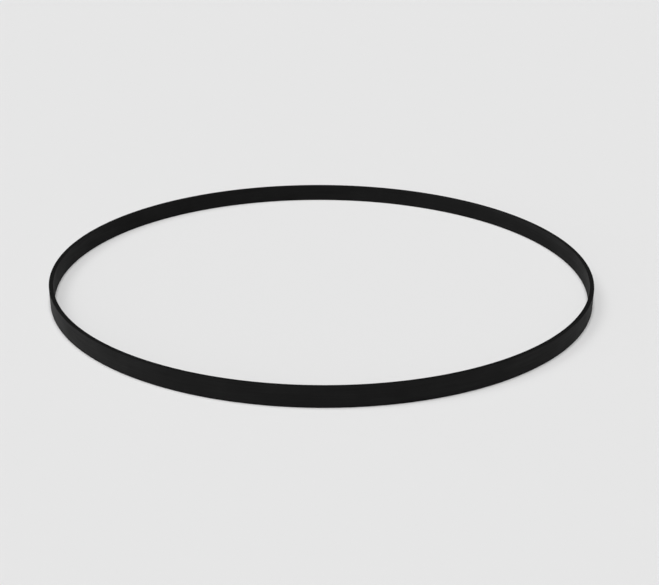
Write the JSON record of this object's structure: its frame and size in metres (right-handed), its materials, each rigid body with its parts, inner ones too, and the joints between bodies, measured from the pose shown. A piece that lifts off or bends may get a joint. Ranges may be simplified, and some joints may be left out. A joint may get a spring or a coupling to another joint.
{
  "type": "flat-section rubber o-ring",
  "caption": "Thin flat-section rubber ring: an endless black band with straight walls and flat rims that grips or seals around a large round body.",
  "frame": {"origin": "centre of the ring on the plane of its lower rim", "axes": "+Z along the ring's axis, from the lower rim to the upper rim; the ring is round, so X and Y are free"},
  "size_m": [0.2924, 0.2924, 0.01],
  "materials": {
    "black_rubber": "satin walls, matte rims"
  },
  "bodies": {
    "root": {"rubber_ring": "black_rubber"}
  },
  "joints": []
}
